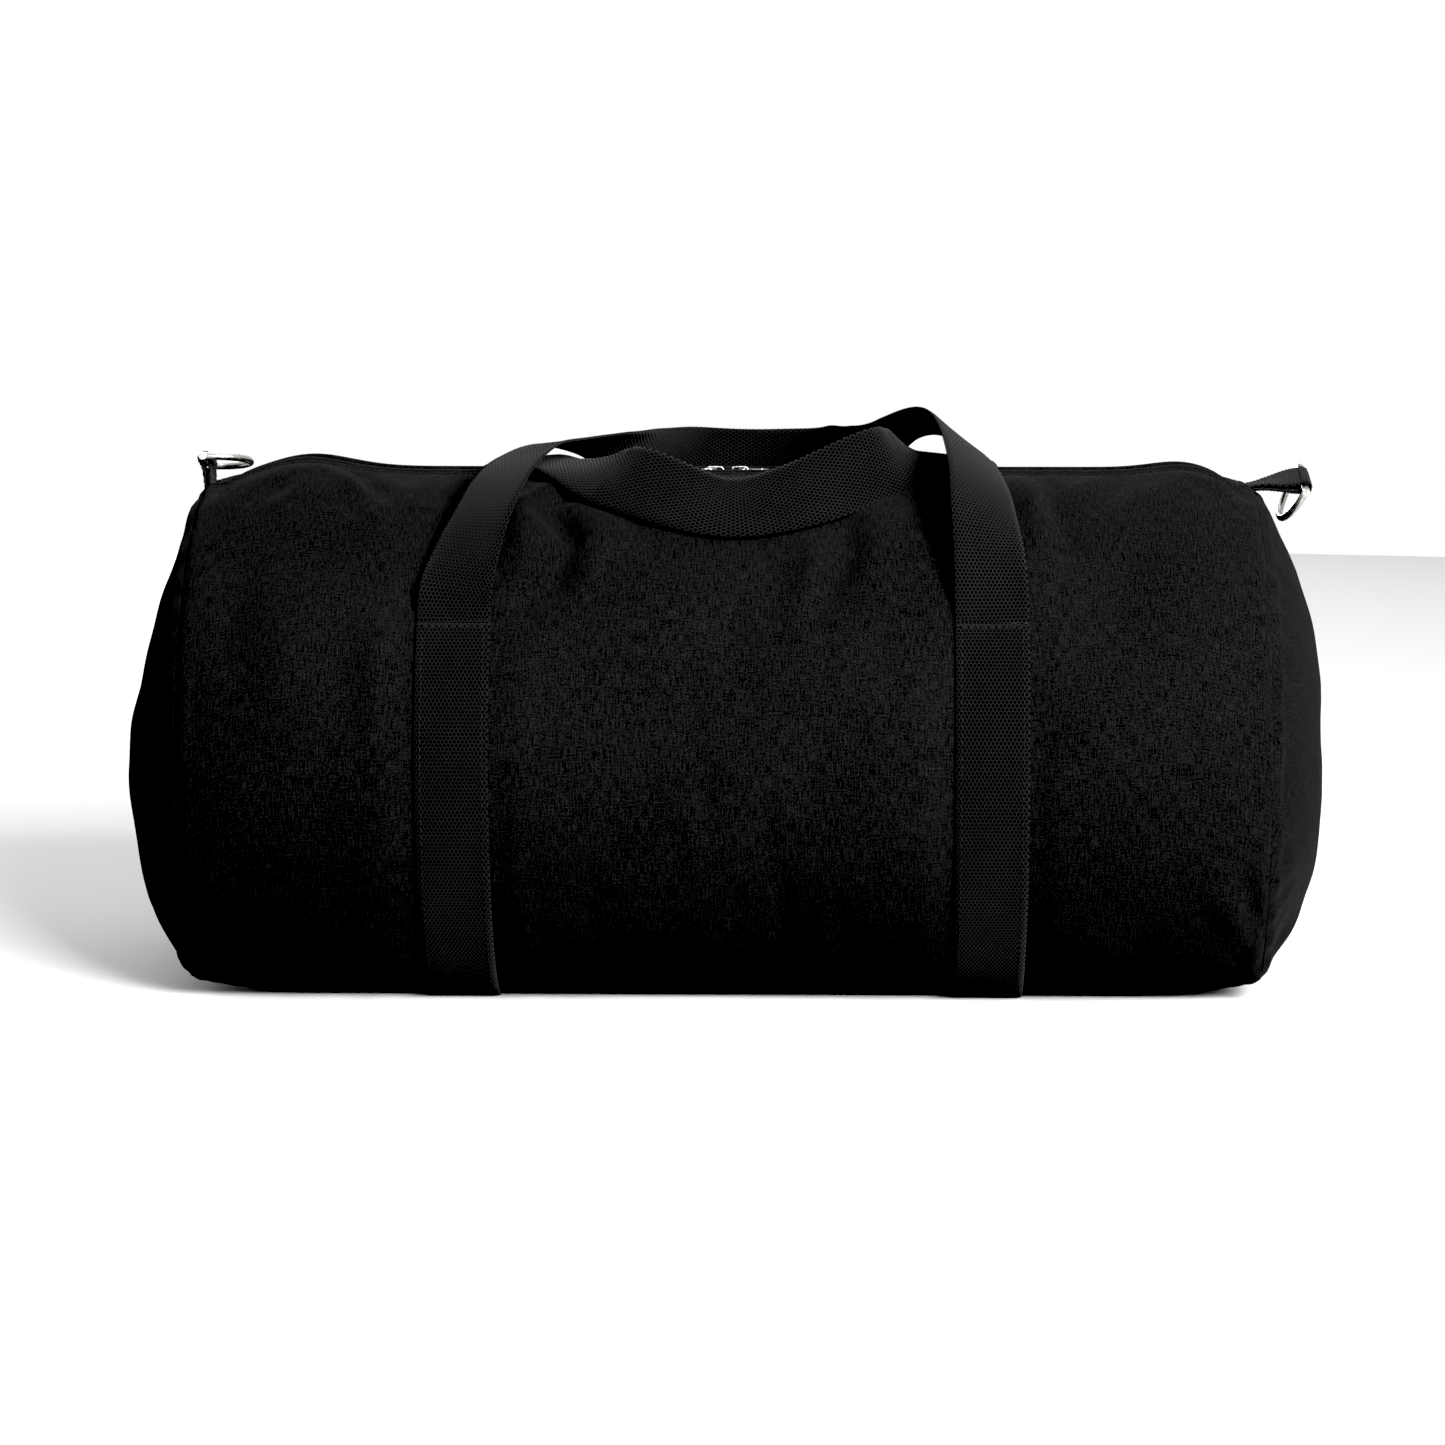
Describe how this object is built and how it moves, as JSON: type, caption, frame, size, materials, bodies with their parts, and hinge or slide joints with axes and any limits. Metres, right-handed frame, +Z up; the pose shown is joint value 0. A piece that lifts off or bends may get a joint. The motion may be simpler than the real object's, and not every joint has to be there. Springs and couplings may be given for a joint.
{
  "type": "duffel bag",
  "caption": "Soft barrel duffel bag with domed round ends, a two-way top zip, crossed webbing handles sewn to straps round the body, and a D-ring on each end.",
  "frame": {"origin": "centre of the bag's footprint, on the surface it rests on", "axes": "+X along the length, -Y towards the front, +Z up"},
  "size_m": [0.508, 0.2452, 0.2442],
  "materials": {
    "canvas": "matt black polyester canvas",
    "webbing": "ribbed black polypropylene webbing",
    "zip_tape": "matt black woven tape",
    "zip_teeth": "black nylon coil",
    "thread": "black bonded thread",
    "nickel": "polished nickel plate"
  },
  "bodies": {
    "bag": {"main_panel": "canvas", "left_end_panel": "canvas", "right_end_panel": "canvas", "left_seam_binding": "webbing", "right_seam_binding": "webbing", "zip_tape_front": "zip_tape", "zip_tape_rear": "zip_tape", "zip_coil_front": "zip_teeth", "zip_coil_rear": "zip_teeth", "left_zip_stop": "nickel", "right_zip_stop": "nickel", "left_zip_end_tab": "canvas", "right_zip_end_tab": "canvas", "left_body_strap": "webbing", "right_body_strap": "webbing", "front_left_bartack": "thread", "front_right_bartack": "thread", "rear_left_bartack": "thread", "rear_right_bartack": "thread", "left_ring_tab": "webbing", "right_ring_tab": "webbing"},
    "left_slider": {"left_slider": "nickel"},
    "right_slider": {"right_slider": "nickel"},
    "left_pull": {"left_pull": "nickel"},
    "right_pull": {"right_pull": "nickel"},
    "front_handle": {"front_handle": "webbing"},
    "rear_handle": {"rear_handle": "webbing"},
    "left_d_ring": {"left_d_ring": "nickel"},
    "right_d_ring": {"right_d_ring": "nickel"}
  },
  "joints": [
    {"name": "left_slider_travel", "type": "slide", "parent": "bag", "child": "left_slider", "axis": [-1, 0, 0], "range_m": [0, 0.182]},
    {"name": "right_slider_travel", "type": "slide", "parent": "bag", "child": "right_slider", "axis": [1, 0, 0], "range_m": [0, 0.182]},
    {"name": "left_pull_turn", "type": "hinge", "parent": "left_slider", "child": "left_pull", "pos_m": [-0.0052, 0, 0.216], "axis": [0, 1, 0], "range_deg": [0, 150]},
    {"name": "right_pull_turn", "type": "hinge", "parent": "right_slider", "child": "right_pull", "pos_m": [0.0052, 0, 0.216], "axis": [0, -1, 0], "range_deg": [0, 150]},
    {"name": "front_handle_swing", "type": "hinge", "parent": "bag", "child": "front_handle", "pos_m": [0, -0.1048, 0.162], "axis": [1, 0, 0], "range_deg": [0, 130]},
    {"name": "rear_handle_swing", "type": "hinge", "parent": "bag", "child": "rear_handle", "pos_m": [0, 0.1048, 0.162], "axis": [1, 0, 0], "range_deg": [-65, 0]},
    {"name": "left_ring_turn", "type": "hinge", "parent": "bag", "child": "left_d_ring", "pos_m": [-0.2215, 0, 0.2195], "axis": [0, -0.9781, 0.2079], "range_deg": [0, 205]},
    {"name": "right_ring_turn", "type": "hinge", "parent": "bag", "child": "right_d_ring", "pos_m": [0.2435, 0, 0.212], "axis": [0, -0.9613, -0.2756], "range_deg": [0, 238]}
  ],
  "couplings": [
    {"joint": "rear_handle_swing", "follows": "front_handle_swing", "ratio": -0.5}
  ]
}
